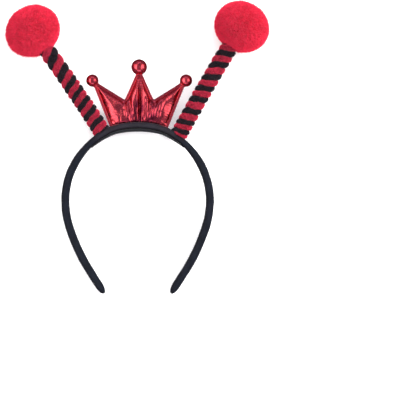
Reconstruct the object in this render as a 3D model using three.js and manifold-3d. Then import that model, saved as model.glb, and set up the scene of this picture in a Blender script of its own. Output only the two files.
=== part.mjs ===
// Bee antenna headband.
// A cloth-covered hoop carries a stuffed foil crown between two antennas. Each antenna is a rod wound with
// a red and a black chenille strand, and ends in a plush pompom.
// The pieces are modelled in the plane of the hoop: X across the head, Y from the tips to the crown,
// Z out of the front. The finished headband lies face up, on its two pompoms and its two tips.
// Lengths are in millimetres and angles in degrees.

import * as THREE from 'three';
import { mergeVertices } from 'three/addons/utils/BufferGeometryUtils.js';
import Module from 'manifold-3d';

const wasm = await Module();
wasm.setup();

const degree = Math.PI / 180;
const mergeDistance = 1e-3;
const clearance = 0.3;

// Hoop, measured on its centreline
const hoopSpan = 123;
const hoopRise = 63.9;
const legDrop = 79;
const tipSpan = 57;
const bandThickness = 6.5;
const bandWidth = 13;
const tipRounding = 12;

// Half of the centreline as a chain of arcs, from the level top to a tip. A radius is a share of half
// the span. The third arc ends upright, at the widest level.
const hoopArcs = [
  { turn: 14, radius: 1.17 },
  { turn: 14, radius: 0.52 },
  { turn: 62, radius: 1.1 },
  { turn: 18, radius: 1.176 },
  { turn: 15, radius: 2.626 },
];
const archArcs = 3;
const legStraight = 0.364;

// Band section from the top to a tip, as shares of its thickness and width
const bandSections = [
  { along: 0, thickness: 0.87, width: 1 },
  { along: 0.26, thickness: 0.9, width: 0.97 },
  { along: 0.34, thickness: 1, width: 0.95 },
  { along: 0.8, thickness: 1, width: 0.8 },
  { along: 1, thickness: 0.96, width: 0.72 },
];

// Cloth pad under the top of the hoop. Its seat and its flat are shares of its width.
const padThickness = 2.1;
const padReach = 46;
const padWidth = 12;
const padSeatWidth = 0.9;
const padFlatWidth = 0.8;

// Pad section from the middle to an end, as shares of its thickness and width
const padSections = [
  { along: 0, thickness: 1, width: 1 },
  { along: 0.3, thickness: 0.88, width: 1 },
  { along: 0.6, thickness: 0.68, width: 0.97 },
  { along: 0.85, thickness: 0.46, width: 0.92 },
  { along: 1, thickness: 0.3, width: 0.8 },
];

// Crown: its half angle is seen from the hoop's widest level, its heights from the hoop's outer face. It
// swells from its base to its full puff over a share of the point height.
const crownShift = 1.3;
const crownHalfAngle = 21.9;
const crownPointHeight = 39.3;
const crownPuff = 12.5;
const crownBasePuff = 9;
const crownSwell = 0.3;
const crownRimWidth = 2.1;
const crownRimThickness = 1.3;
const crownEdgeRound = 8.5;
const middleKnobDiameter = 13.5;
const sideKnobDiameter = 10.6;
const knobFlatness = 0.86;

// Crown outline from the middle to one side. angle is a share of the half angle, height a share of the
// point height, and steps the number of columns between a corner and the one before it.
const crownOutline = [
  { angle: 0, height: 1.09, steps: 1 },
  { angle: 0.085, height: 1.0, steps: 2 },
  { angle: 0.355, height: 0.53, steps: 6 },
  { angle: 0.388, height: 0.515, steps: 1 },
  { angle: 0.872, height: 0.985, steps: 6 },
  { angle: 0.95, height: 1.04, steps: 1 },
  { angle: 0.99, height: 0.96, steps: 1 },
];

// Knob centres, in the same shares as the outline
const middleKnob = { angle: 0, height: 1.19 };
const sideKnob = { angle: 0.973, height: 1.09 };

// Creases of the stuffed crown. angle and height as in the outline, depth a share of half the puff,
// spread the angle over which a crease fades out sideways, and fade the height over which its ends do.
const creaseFade = 0.12;
const crownFolds = [
  { angle: -0.53, from: 0.1, to: 0.62, depth: 0.2, spread: 0.05 },
  { angle: -0.4, from: 0.2, to: 0.6, depth: 0.26, spread: 0.045 },
  { angle: -0.25, from: 0.12, to: 0.6, depth: 0.3, spread: 0.045 },
  { angle: -0.02, from: 0, to: 1.1, depth: 0.34, spread: 0.05 },
  { angle: 0.14, from: 0.08, to: 0.55, depth: 0.22, spread: 0.04 },
  { angle: 0.3, from: 0.15, to: 0.6, depth: 0.3, spread: 0.045 },
  { angle: 0.44, from: 0.2, to: 0.62, depth: 0.22, spread: 0.045 },
  { angle: 0.6, from: 0.12, to: 0.66, depth: 0.18, spread: 0.05 },
];

// Antennas, both wound alike
const antennaLength = 104;
const wrapDiameter = 15.9;
const rodDiameter = 6.4;
const footSink = 1.2;
const stepsPerTurn = 10;

// Half section of a strand: height over the rod as a share of the strand's, and half breadth as a share
// of the half breadth that keeps the strands apart
const strandSection = [
  { height: 0, breadth: 0.7 },
  { height: 0.53, breadth: 1 },
  { height: 1, breadth: 0.42 },
];

// Pompoms
const pompomWidth = 47.8;
const pompomHeight = 45;
const pompomDepth = 46;
const wrapSeat = 9;
const rodSeat = 16;
const lockDepth = 2.2;
const lockSpread = 8.4;
const lockCount = 48;

// The two antennas. foot is the place on the hoop, seen from the middle of the widest level and counted
// from the top; lean is the slope from upright; length is a share of the antenna length, and so is bow,
// which moves the middle sideways. turns has a row for each black turn: where it crosses the front, as a
// share of the antenna, and its extra slope.
const antennaRows = [
  {
    side: 'left',
    foot: -27.2,
    lean: 34.5,
    length: 0.99,
    bow: 0.008,
    turns: [
      { at: 0.076, slope: -8 },
      { at: 0.171, slope: 4 },
      { at: 0.27, slope: 0 },
      { at: 0.36, slope: 6 },
      { at: 0.459, slope: 8 },
      { at: 0.567, slope: 3 },
      { at: 0.716, slope: 9 },
    ],
  },
  {
    side: 'right',
    foot: 31.8,
    lean: -30.3,
    length: 1.015,
    bow: -0.006,
    turns: [
      { at: 0.03, slope: 0 },
      { at: 0.105, slope: -1 },
      { at: 0.21, slope: -2 },
      { at: 0.323, slope: -2 },
      { at: 0.42, slope: 2 },
      { at: 0.524, slope: 9 },
      { at: 0.645, slope: 7 },
      { at: 0.749, slope: 2 },
    ],
  },
];
const antennas = antennaRows.map((row) => ({
  ...row,
  length: row.length * antennaLength,
  bow: row.bow * antennaLength,
}));

const cloth = new THREE.MeshStandardMaterial({ color: '#23252b', roughness: 0.85, metalness: 0 });
const felt = new THREE.MeshStandardMaterial({ color: '#1d1e23', roughness: 0.95, metalness: 0 });
const foil = new THREE.MeshStandardMaterial({ color: '#b3152b', roughness: 0.25, metalness: 0.85 });
const redChenille = new THREE.MeshStandardMaterial({ color: '#b32034', roughness: 0.9, metalness: 0 });
const blackChenille = new THREE.MeshStandardMaterial({ color: '#22212a', roughness: 0.9, metalness: 0 });
const redPlush = new THREE.MeshStandardMaterial({ color: '#cf2a3e', roughness: 1, metalness: 0 });
const plainRod = new THREE.MeshStandardMaterial({ color: '#2b2b2e', roughness: 0.6, metalness: 0 });

// Value of one column of a table, read between its rows
function readTable(rows, key, column, place) {
  const last = rows.length - 1;
  let row = rows.findIndex((entry) => entry[key] >= place);
  if (row < 0) {
    row = last;
  }
  row = Math.max(row, 1);
  const before = rows[row - 1];
  const after = rows[row];
  const share = (place - before[key]) / (after[key] - before[key]);
  return THREE.MathUtils.lerp(before[column], after[column], share);
}

// Share of full size at a distance from a rounded end
function roundedEnd(distance, length) {
  const share = THREE.MathUtils.clamp(distance / length, 0, 1);
  return Math.sqrt(1 - (1 - share) ** 2);
}

// Closed skin over a row of rings with as many points each, with flat ends
function skinRings(rings) {
  const sides = rings[0].length;
  const positions = rings.flat().flatMap((point) => point.toArray());
  const indices = [];
  for (let ring = 0; ring < rings.length - 1; ring++) {
    for (let side = 0; side < sides; side++) {
      const here = ring * sides + side;
      const beside = ring * sides + ((side + 1) % sides);
      indices.push(here, beside, beside + sides);
      indices.push(here, beside + sides, here + sides);
    }
  }
  const lastRing = (rings.length - 1) * sides;
  for (let side = 1; side < sides - 1; side++) {
    indices.push(0, side + 1, side);
    indices.push(lastRing, lastRing + side, lastRing + side + 1);
  }
  const geometry = new THREE.BufferGeometry();
  geometry.setAttribute('position', new THREE.Float32BufferAttribute(positions, 3));
  geometry.setIndex(indices);
  return geometry;
}

// A geometry as a solid that can be joined and cut
function toSolid(geometry) {
  const bare = geometry.clone();
  bare.deleteAttribute('normal');
  bare.deleteAttribute('uv');
  const merged = mergeVertices(bare, mergeDistance);
  return new wasm.Manifold(
    new wasm.Mesh({
      numProp: 3,
      vertProperties: new Float32Array(merged.attributes.position.array),
      triVerts: new Uint32Array(merged.index.array),
    }),
  );
}

function toGeometry(solid) {
  const { vertProperties, triVerts } = solid.getMesh();
  const geometry = new THREE.BufferGeometry();
  geometry.setAttribute('position', new THREE.BufferAttribute(vertProperties, 3));
  geometry.setIndex(new THREE.BufferAttribute(triVerts, 1));
  return geometry;
}

function piece(name, geometry, material) {
  const flat = geometry.index ? geometry.toNonIndexed() : geometry;
  flat.computeVertexNormals();
  const mesh = new THREE.Mesh(flat, material);
  mesh.name = name;
  return mesh;
}

// Centreline of the hoop from the left tip over the top to the right tip
function makeHoopLine() {
  const stepsPerArc = 5;
  const half = [new THREE.Vector2()];
  let heading = 0;
  let widest = 0;
  hoopArcs.forEach((arc, index) => {
    for (let step = 0; step < stepsPerArc; step++) {
      const before = heading;
      heading += (arc.turn / stepsPerArc) * degree;
      const x = arc.radius * (Math.sin(heading) - Math.sin(before));
      const y = arc.radius * (Math.cos(heading) - Math.cos(before));
      half.push(half.at(-1).clone().add(new THREE.Vector2(x, y)));
    }
    if (index === archArcs - 1) {
      widest = half.length - 1;
    }
  });
  const legEnd = new THREE.Vector2(Math.cos(heading), -Math.sin(heading)).multiplyScalar(legStraight);
  half.push(half.at(-1).clone().addScaledVector(legEnd, 0.5));
  half.push(half.at(-2).clone().add(legEnd));

  const level = half[widest].clone();
  const tip = half.at(-1).clone();
  const right = half.map((point, index) => {
    if (index <= widest) {
      return new THREE.Vector3(
        (point.x / level.x) * (hoopSpan / 2),
        (1 - point.y / level.y) * hoopRise,
        0,
      );
    }
    const inward = (level.x - point.x) / (level.x - tip.x);
    const down = (level.y - point.y) / (level.y - tip.y);
    return new THREE.Vector3(hoopSpan / 2 - (inward * (hoopSpan - tipSpan)) / 2, -down * legDrop, 0);
  });
  const left = right.slice(1).map((point) => new THREE.Vector3(-point.x, point.y, 0));
  const line = new THREE.CatmullRomCurve3([...left.reverse(), ...right], false, 'centripetal');
  line.arcLengthDivisions = 800;
  return line;
}

const hoopLine = makeHoopLine();
const hoopLength = hoopLine.getLength();

// Place on the hoop: its point, its outward direction and the band's size there
function hoopAt(share) {
  const tangent = hoopLine.getTangentAt(share);
  const along = Math.abs(share - 0.5) * 2;
  return {
    point: hoopLine.getPointAt(share),
    outward: new THREE.Vector3(-tangent.y, tangent.x, 0),
    thickness: bandThickness * readTable(bandSections, 'along', 'thickness', along),
    width: bandWidth * readTable(bandSections, 'along', 'width', along),
  };
}

// Share of the hoop's length at an angle from the top, seen from a point on the widest level
function hoopShare(angle, shift = 0) {
  const halvings = 40;
  let low = 0.2;
  let high = 0.8;
  for (let step = 0; step < halvings; step++) {
    const middle = (low + high) / 2;
    const point = hoopLine.getPointAt(middle);
    const reached = Math.atan2(point.x - shift, point.y) / degree;
    if (reached < angle) {
      low = middle;
    } else {
      high = middle;
    }
  }
  return (low + high) / 2;
}

// Rounded section of the band, grown by a margin
function bandRing(share, size, margin) {
  const squareness = 2.7;
  const sides = 12;
  const rounded = (part) => Math.sign(part) * Math.abs(part) ** (2 / squareness);
  const place = hoopAt(share);
  const ring = [];
  for (let side = 0; side < sides; side++) {
    const angle = ((side + 0.5) / sides) * 2 * Math.PI;
    const radial = rounded(Math.cos(angle));
    const front = rounded(Math.sin(angle));
    ring.push(
      place.point
        .clone()
        .addScaledVector(place.outward, radial * ((place.thickness / 2) * size + margin))
        .add(new THREE.Vector3(0, 0, front * ((place.width / 2) * size + margin))),
    );
  }
  return ring;
}

function makeBand(margin) {
  const evenSteps = 46;
  const tipSteps = [0.06, 0.3, 0.62];
  const rounding = tipRounding / hoopLength;
  const shares = tipSteps.map((step) => step * rounding);
  for (let step = 0; step <= evenSteps; step++) {
    shares.push(THREE.MathUtils.lerp(rounding, 1 - rounding, step / evenSteps));
  }
  shares.push(...tipSteps.map((step) => 1 - step * rounding).reverse());
  const rings = shares.map((share) => {
    const fromTip = Math.min(share, 1 - share) * hoopLength;
    return bandRing(share, roundedEnd(fromTip, tipRounding), margin);
  });
  return skinRings(rings);
}

// Pad under the top of the hoop, flat toward the head, thinning out at its ends
function makePad() {
  const steps = 17;
  const rings = [];
  for (let step = 0; step <= steps; step++) {
    const reach = THREE.MathUtils.lerp(-padReach, padReach, step / steps);
    const place = hoopAt(0.5 + reach / hoopLength);
    const along = Math.abs(reach) / padReach;
    const seat = -place.thickness / 2 - clearance;
    const inner = seat - padThickness * readTable(padSections, 'along', 'thickness', along);
    const shoulder = THREE.MathUtils.lerp(inner, seat, 0.5);
    const halfWidth = (padWidth / 2) * readTable(padSections, 'along', 'width', along);
    const section = [
      [seat, padSeatWidth * halfWidth],
      [shoulder, halfWidth],
      [inner, padFlatWidth * halfWidth],
      [inner, -padFlatWidth * halfWidth],
      [shoulder, -halfWidth],
      [seat, -padSeatWidth * halfWidth],
    ];
    rings.push(
      section.map(([radial, front]) =>
        place.point
          .clone()
          .addScaledVector(place.outward, radial)
          .add(new THREE.Vector3(0, 0, front)),
      ),
    );
  }
  return skinRings(rings);
}

const crownFoot = hoopRise + hoopAt(0.5).thickness / 2;

// Point of the crown's outline plane, from an angle share and a height share
function crownPoint({ angle, height }) {
  const turn = angle * crownHalfAngle * degree;
  const radius = crownFoot + height * crownPointHeight;
  return new THREE.Vector2(crownShift + radius * Math.sin(turn), radius * Math.cos(turn));
}

// Place on the hoop's centreline under a point of the crown
function hoopUnder(point) {
  const angle = Math.atan2(point.x - crownShift, point.y) / degree;
  const under = hoopLine.getPointAt(hoopShare(angle, crownShift));
  return new THREE.Vector2(under.x, under.y);
}

function distanceToLine(point, from, to) {
  const line = to.clone().sub(from);
  const share = THREE.MathUtils.clamp(point.clone().sub(from).dot(line) / line.lengthSq(), 0, 1);
  return point.distanceTo(from.clone().addScaledVector(line, share));
}

// Outline moved inward by a distance, corner by corner; the ends stay on their own lines
function insetOutline(points, distance) {
  const normals = points.slice(1).map((point, index) => {
    const line = point.clone().sub(points[index]).normalize();
    return new THREE.Vector2(line.y, -line.x);
  });
  return points.map((point, index) => {
    const before = normals[Math.max(index - 1, 0)];
    const after = normals[Math.min(index, normals.length - 1)];
    const middle = before.clone().add(after).normalize();
    return point.clone().addScaledVector(middle, distance / middle.dot(before));
  });
}

// Height of a point of the crown as a share of the point height
function crownHeight(point) {
  return (Math.hypot(point.x - crownShift, point.y) - crownFoot) / crownPointHeight;
}

// Depth of the creases at a point of the crown, as a share of half the puff
function creaseDepth(point) {
  const angle = Math.atan2(point.x - crownShift, point.y) / degree / crownHalfAngle;
  const height = crownHeight(point);
  return crownFolds.reduce((sum, fold) => {
    const across = Math.exp(-(((angle - fold.angle) / fold.spread) ** 2));
    const start = THREE.MathUtils.smoothstep(height, fold.from - creaseFade, fold.from + creaseFade);
    const end = 1 - THREE.MathUtils.smoothstep(height, fold.to - creaseFade, fold.to + creaseFade);
    return sum + fold.depth * across * start * end;
  }, 0);
}

// Stuffed body of the crown: a pillow over the outline inside the sealed rim
function makeCrownPuff(outline) {
  const rows = 9;
  const rowCrowding = 0.8;
  const inner = insetOutline(outline, crownRimWidth);
  const columns = [];
  const lines = [];
  const rightSteps = crownOutline.slice(1).map((corner) => corner.steps);
  const stepCounts = [...rightSteps.slice().reverse(), ...rightSteps];
  const corners = inner.slice(1, -1);
  stepCounts.forEach((steps, index) => {
    for (let step = 0; step < steps; step++) {
      columns.push(corners[index].clone().lerp(corners[index + 1], step / steps));
    }
  });
  columns.push(corners.at(-1));
  for (let index = 0; index < inner.length - 1; index++) {
    lines.push([inner[index], inner[index + 1]]);
  }
  const foots = columns.map(hoopUnder);

  const halfPuff = (point) => {
    const edge = Math.min(...lines.map(([from, to]) => distanceToLine(point, from, to)));
    const swell = THREE.MathUtils.smoothstep(crownHeight(point), 0, crownSwell);
    const full = THREE.MathUtils.lerp(crownBasePuff, crownPuff, swell);
    return (full / 2) * roundedEnd(edge, crownEdgeRound) * (1 - creaseDepth(point));
  };

  const positions = [];
  const front = [];
  const back = [];
  const addVertex = (point, depth) => {
    positions.push(point.x, point.y, depth);
    return positions.length / 3 - 1;
  };
  for (let column = 0; column < columns.length; column++) {
    front.push([]);
    back.push([]);
    const sealed = column === 0 || column === columns.length - 1;
    for (let row = 0; row <= rows; row++) {
      const share = Math.sin((row / rows) * (Math.PI / 2)) ** rowCrowding;
      const point = foots[column].clone().lerp(columns[column], share);
      const depth = sealed || row === rows ? 0 : halfPuff(point);
      front[column].push(addVertex(point, depth));
      back[column].push(depth > 0 ? addVertex(point, -depth) : front[column][row]);
    }
  }
  const indices = [];
  const addFace = (a, b, c) => {
    if (a !== b && b !== c && a !== c) {
      indices.push(a, b, c);
    }
  };
  for (let column = 0; column < columns.length - 1; column++) {
    for (let row = 0; row < rows; row++) {
      const [a, b] = [front[column][row], front[column + 1][row]];
      const [c, d] = [front[column + 1][row + 1], front[column][row + 1]];
      addFace(a, b, c);
      addFace(a, c, d);
      const [e, f] = [back[column][row], back[column + 1][row]];
      const [g, h] = [back[column + 1][row + 1], back[column][row + 1]];
      addFace(e, g, f);
      addFace(e, h, g);
    }
    addFace(front[column][0], back[column][0], back[column + 1][0]);
    addFace(front[column][0], back[column + 1][0], front[column + 1][0]);
  }
  const geometry = new THREE.BufferGeometry();
  geometry.setAttribute('position', new THREE.Float32BufferAttribute(positions, 3));
  geometry.setIndex(indices);
  return geometry;
}

function makeKnob(place, diameter) {
  const point = crownPoint(place);
  const knob = new THREE.SphereGeometry(diameter / 2, 12, 8);
  knob.scale(1, 1, knobFlatness);
  knob.translate(point.x, point.y, 0);
  return toSolid(knob);
}

// Crown: sealed rim plate, stuffed body and three knobs in one, seated on the hoop and clear of the
// antennas
function makeCrown(bandCutter, antennaCutters) {
  const mirrored = (row) => ({ ...row, angle: -row.angle });
  const top = [...crownOutline.slice(1).reverse().map(mirrored), ...crownOutline].map(crownPoint);
  const outline = [hoopUnder(top[0]), ...top, hoopUnder(top.at(-1))];

  const footSteps = 12;
  const feet = [top[0], top.at(-1)].map((point) =>
    hoopShare(Math.atan2(point.x - crownShift, point.y) / degree, crownShift),
  );
  const foot = [];
  for (let step = 1; step < footSteps; step++) {
    const under = hoopLine.getPointAt(THREE.MathUtils.lerp(feet[1], feet[0], step / footSteps));
    foot.push(new THREE.Vector2(under.x, under.y));
  }
  const rim = new THREE.ExtrudeGeometry(new THREE.Shape([...outline, ...foot]), {
    depth: crownRimThickness,
    bevelEnabled: false,
  });
  rim.translate(0, 0, -crownRimThickness / 2);
  let crown = toSolid(rim).add(toSolid(makeCrownPuff(outline)));
  crown = crown.add(makeKnob(middleKnob, middleKnobDiameter));
  for (const side of [-1, 1]) {
    crown = crown.add(makeKnob({ ...sideKnob, angle: side * sideKnob.angle }, sideKnobDiameter));
  }
  for (const cutter of [bandCutter, ...antennaCutters]) {
    crown = crown.subtract(cutter);
  }
  return toGeometry(crown);
}

// Axis of an antenna in its own frame: Y from the foot to the pompom, X across, Z out of the front
function antennaAxis({ length, bow }) {
  return new THREE.QuadraticBezierCurve3(
    new THREE.Vector3(0, 0, 0),
    new THREE.Vector3(2 * bow, length / 2, 0),
    new THREE.Vector3(0, length, 0),
  );
}

// Point beside the axis: height along it, radius from it and angle from the front
function besideAxis(antenna, height, radius, angle) {
  const axis = antennaAxis(antenna);
  const share = height / antenna.length;
  const tangent = axis.getTangent(THREE.MathUtils.clamp(share, 0, 1));
  const across = new THREE.Vector3(tangent.y, -tangent.x, 0);
  return axis
    .getPoint(share)
    .addScaledVector(across, radius * Math.sin(angle))
    .add(new THREE.Vector3(0, 0, radius * Math.cos(angle)));
}

function makeTube(antenna, from, to, radius, sides) {
  const steps = 6;
  const rings = [];
  for (let step = 0; step <= steps; step++) {
    const height = THREE.MathUtils.lerp(from, to, step / steps);
    const ring = [];
    for (let side = 0; side < sides; side++) {
      ring.push(besideAxis(antenna, height, radius, (side / sides) * 2 * Math.PI));
    }
    rings.push(ring);
  }
  return skinRings(rings);
}

// Height at which a winding crosses an angle. Whole windings are the black turns at the front, and the
// windings half way between them are the red turns.
function windingHeight({ length, turns }, winding, angle) {
  const last = turns.length - 1;
  const row = THREE.MathUtils.clamp(Math.floor(winding), 0, last - 1);
  const share = winding - row;
  const at = THREE.MathUtils.lerp(turns[row].at, turns[row + 1].at, share);
  const held = THREE.MathUtils.clamp(share, 0, 1);
  const slope = THREE.MathUtils.lerp(turns[row].slope, turns[row + 1].slope, held);
  const strandRadius = (wrapDiameter + rodDiameter) / 4;
  return at * length + strandRadius * Math.sin(angle) * Math.tan(slope * degree);
}

// One strand, wound from under the hoop's face to its seat in the pompom. Beside each other the two
// strands fill the wrap and keep their clearance.
function makeStrand(antenna, halfTurns) {
  const innerRadius = rodDiameter / 2 + clearance;
  const outerRadius = wrapDiameter / 2;
  const wrapEnd = antenna.length - pompomHeight / 2 + wrapSeat;
  const turnsBelow = 2;
  const footRunOut = 0.02 * antenna.length;
  const rings = [];
  for (let step = -turnsBelow * stepsPerTurn; ; step++) {
    const winding = step / stepsPerTurn;
    const angle = (winding - halfTurns / 2) * 2 * Math.PI;
    const middle = windingHeight(antenna, winding, angle);
    const below = (middle - windingHeight(antenna, winding - 0.5, angle)) / 2 - clearance / 2;
    const above = (windingHeight(antenna, winding + 0.5, angle) - middle) / 2 - clearance / 2;
    if (middle + above > wrapEnd - clearance) {
      break;
    }
    if (middle + above < -footSink - clearance - footRunOut) {
      continue;
    }
    const corner = ({ height, breadth }, reach) => {
      const radius = THREE.MathUtils.lerp(innerRadius, outerRadius, height);
      return besideAxis(antenna, middle + breadth * reach, radius, angle);
    };
    const upper = strandSection.map((row) => corner(row, above));
    const lower = strandSection.map((row) => corner(row, -below));
    rings.push([...upper, ...lower.reverse()]);
  }
  return skinRings(rings);
}

// Directions of the locks, spread evenly round the head
function lockDirections() {
  const goldenAngle = Math.PI * (3 - Math.sqrt(5));
  return Array.from({ length: lockCount }, (_, index) => {
    const rise = 1 - (2 * index + 1) / lockCount;
    const ring = Math.sqrt(1 - rise * rise);
    const turn = index * goldenAngle;
    return new THREE.Vector3(ring * Math.cos(turn), ring * Math.sin(turn), rise);
  });
}

// Plush pompom: blunt locks fused all round a head, with a seat for the wrap and a hole for the rod. A
// lock is highest in its middle and falls off to the head at its spread.
function makePompom(antenna, group) {
  const size = new THREE.Vector3(pompomWidth, pompomHeight, pompomDepth).divideScalar(2);
  const locks = lockDirections();
  const plush = new THREE.IcosahedronGeometry(1, 7);
  const corners = plush.attributes.position;
  const direction = new THREE.Vector3();
  for (let index = 0; index < corners.count; index++) {
    direction.fromBufferAttribute(corners, index).normalize();
    const reach = 1 / direction.clone().divide(size).length();
    const nearest = Math.min(...locks.map((lock) => lock.angleTo(direction)));
    const fall = Math.min((nearest * reach) / lockSpread, 1);
    direction.multiplyScalar(reach - lockDepth * fall ** 2);
    corners.setXYZ(index, direction.x, direction.y, direction.z);
  }
  plush.rotateZ(-antenna.lean * degree);
  plush.translate(0, antenna.length, 0);

  const bottom = antenna.length - pompomHeight / 2;
  const wrapHole = makeTube(antenna, bottom - lockDepth, bottom + wrapSeat, wrapDiameter / 2 + clearance, 14);
  const rodHole = makeTube(antenna, bottom, bottom + rodSeat + clearance, rodDiameter / 2 + clearance, 10);
  const pompom = toSolid(plush).subtract(toSolid(wrapHole)).subtract(toSolid(rodHole));
  group.add(piece(`pompom_${antenna.side}`, toGeometry(pompom), redPlush));
}

// Rod, two strands and pompom of one antenna, in a group placed on the hoop
function makeAntenna(antenna, band) {
  const group = new THREE.Group();
  const place = hoopAt(hoopShare(antenna.foot));
  group.position.copy(place.point).addScaledVector(place.outward, place.thickness / 2);
  group.rotation.z = antenna.lean * degree;
  group.updateMatrix();

  const toAntenna = group.matrix.clone().invert();
  const bandCutter = toSolid(band.clone().applyMatrix4(toAntenna));
  const footBlock = new THREE.BoxGeometry(2 * wrapDiameter, antenna.length, 2 * wrapDiameter);
  footBlock.translate(0, -antenna.length / 2 - footSink, 0);
  const footCutter = toSolid(footBlock);
  const seated = (geometry) => toGeometry(toSolid(geometry).subtract(bandCutter).subtract(footCutter));

  const rodTop = antenna.length - pompomHeight / 2 + rodSeat;
  const rod = makeTube(antenna, -bandThickness / 2, rodTop, rodDiameter / 2, 10);
  group.add(piece(`antenna_${antenna.side}_rod`, seated(rod), plainRod));
  group.add(piece(`antenna_${antenna.side}_black_strand`, seated(makeStrand(antenna, 0)), blackChenille));
  group.add(piece(`antenna_${antenna.side}_red_strand`, seated(makeStrand(antenna, 1)), redChenille));
  makePompom(antenna, group);
  return group;
}

// Space that an antenna takes beside the crown, in the plane of the hoop
function antennaCutter(antenna, group) {
  const envelope = makeTube(antenna, -footSink, antenna.length / 2, wrapDiameter / 2 + clearance, 16);
  return toSolid(envelope.applyMatrix4(group.matrix));
}

const hoopPlane = new THREE.Group();
const bandSpace = makeBand(clearance);
const antennaGroups = antennas.map((antenna) => makeAntenna(antenna, bandSpace));
const antennaCutters = antennas.map((antenna, index) => antennaCutter(antenna, antennaGroups[index]));
hoopPlane.add(piece('band', makeBand(0), cloth));
hoopPlane.add(piece('head_pad', makePad(), felt));
hoopPlane.add(piece('crown', makeCrown(toSolid(bandSpace), antennaCutters), foil));
hoopPlane.add(...antennaGroups);

// Lay the headband face up: its pompoms are thicker than its tips, so its plane slopes
const tipHalfWidth = hoopAt(tipRounding / hoopLength).width / 2;
const pompomLevels = antennas.map((antenna, index) => {
  const centre = new THREE.Vector3(0, antenna.length, 0);
  return centre.applyMatrix4(antennaGroups[index].matrix).y;
});
const pompomLevel = (pompomLevels[0] + pompomLevels[1]) / 2;
const rise = pompomDepth / 2 - tipHalfWidth;
hoopPlane.rotation.x = Math.asin(rise / (pompomLevel + legDrop - tipRounding));

const headband = new THREE.Group();
headband.add(hoopPlane);
headband.updateMatrixWorld(true);
const bounds = new THREE.Box3().setFromObject(headband, true);
const middle = bounds.getCenter(new THREE.Vector3());
hoopPlane.position.set(-middle.x, -middle.y, -bounds.min.z);

export default headband;
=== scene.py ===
import math

import bpy
import numpy as np
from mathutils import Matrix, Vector
from mathutils.geometry import delaunay_2d_cdt


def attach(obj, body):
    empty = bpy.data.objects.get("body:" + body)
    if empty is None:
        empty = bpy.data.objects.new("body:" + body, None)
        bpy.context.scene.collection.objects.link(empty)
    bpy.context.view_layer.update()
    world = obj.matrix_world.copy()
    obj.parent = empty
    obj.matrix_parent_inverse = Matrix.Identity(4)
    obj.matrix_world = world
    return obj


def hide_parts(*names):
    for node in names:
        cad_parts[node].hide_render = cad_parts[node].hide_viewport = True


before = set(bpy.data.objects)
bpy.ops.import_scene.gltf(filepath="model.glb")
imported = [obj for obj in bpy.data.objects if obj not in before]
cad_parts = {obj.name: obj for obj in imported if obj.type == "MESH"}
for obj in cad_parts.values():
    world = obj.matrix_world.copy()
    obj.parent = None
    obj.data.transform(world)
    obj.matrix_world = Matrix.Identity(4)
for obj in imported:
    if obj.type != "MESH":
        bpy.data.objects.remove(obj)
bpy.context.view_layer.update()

# The shapes are made in the plane of the hoop, in millimetres: X across the head, Y from the tips to the
# crown, Z out of the front. The headband lies with that plane sloping a little.
MM = 0.001
SLOPE = math.radians(4.896)
SLOPE_COS, SLOPE_SIN = math.cos(SLOPE), math.sin(SLOPE)
PLANE_ORIGIN = np.array([0.20, -44.99, 10.64])
# Gap beside the solids that stay bare, and the least height over the floor in metres
NODE_CLEARANCE = 0.3
FLOOR_CLEARANCE = 0.0001
# Noise: how many waves it sums, and the spread of their lengths
RIPPLE_WAVES = 9
RIPPLE_SPREAD = 0.7, 1.5


def to_world(points):
    """Points of the hoop's plane, in millimetres, as metres in the object's frame."""
    p = np.asarray(points, float)
    y = p[..., 1] * SLOPE_COS - p[..., 2] * SLOPE_SIN
    z = p[..., 1] * SLOPE_SIN + p[..., 2] * SLOPE_COS
    return (np.stack([p[..., 0], y, z], -1) + PLANE_ORIGIN) * MM


def mesh_object(name, points, tris, uv=None, shade=None):
    """A mesh from points of the hoop's plane and triangles. uv has a row for each point, and shade is a
    number from 0 to 1 for each point that a material can read."""
    points = to_world(points)
    points[:, 2] = np.maximum(points[:, 2], FLOOR_CLEARANCE)
    corners = np.asarray(tris, np.int32).ravel()
    mesh = bpy.data.meshes.new(name)
    mesh.vertices.add(len(points))
    mesh.vertices.foreach_set("co", points.astype(np.float32).ravel())
    mesh.loops.add(len(corners))
    mesh.loops.foreach_set("vertex_index", corners)
    mesh.polygons.add(len(tris))
    mesh.polygons.foreach_set("loop_start", np.arange(0, len(corners), 3, dtype=np.int32))
    mesh.polygons.foreach_set("use_smooth", np.ones(len(tris), bool))
    if uv is not None:
        layer = mesh.uv_layers.new(name="UVMap")
        layer.data.foreach_set("uv", np.asarray(uv, np.float32)[corners].ravel())
    if shade is not None:
        layer = mesh.attributes.new("shade", "FLOAT", "POINT")
        layer.data.foreach_set("value", np.asarray(shade, np.float32))
    mesh.update(calc_edges=True)
    mesh.validate()
    piece = bpy.data.objects.new(name, mesh)
    bpy.context.scene.collection.objects.link(piece)
    return piece


def unit(vectors):
    return vectors / np.maximum(np.linalg.norm(vectors, axis=-1, keepdims=True), 1e-9)


def smoothstep(value, low, high):
    """0 below low and 1 above high, with a smooth rise between them."""
    t = np.clip((value - low) / (high - low), 0, 1)
    return t * t * (3 - 2 * t)


def ring_faces(rings, sides, clockwise=False):
    """Triangles between closed rings of points, facing out where the rings run as clockwise says."""
    ring, side = np.mgrid[0 : rings - 1, 0:sides]
    here = ring * sides + side
    beside = ring * sides + (side + 1) % sides
    quads = np.stack([here, beside, beside + sides, here + sides], -1).reshape(-1, 4)
    if clockwise:
        quads = quads[:, ::-1]
    return np.concatenate([quads[:, [0, 1, 2]], quads[:, [0, 2, 3]]])


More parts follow.
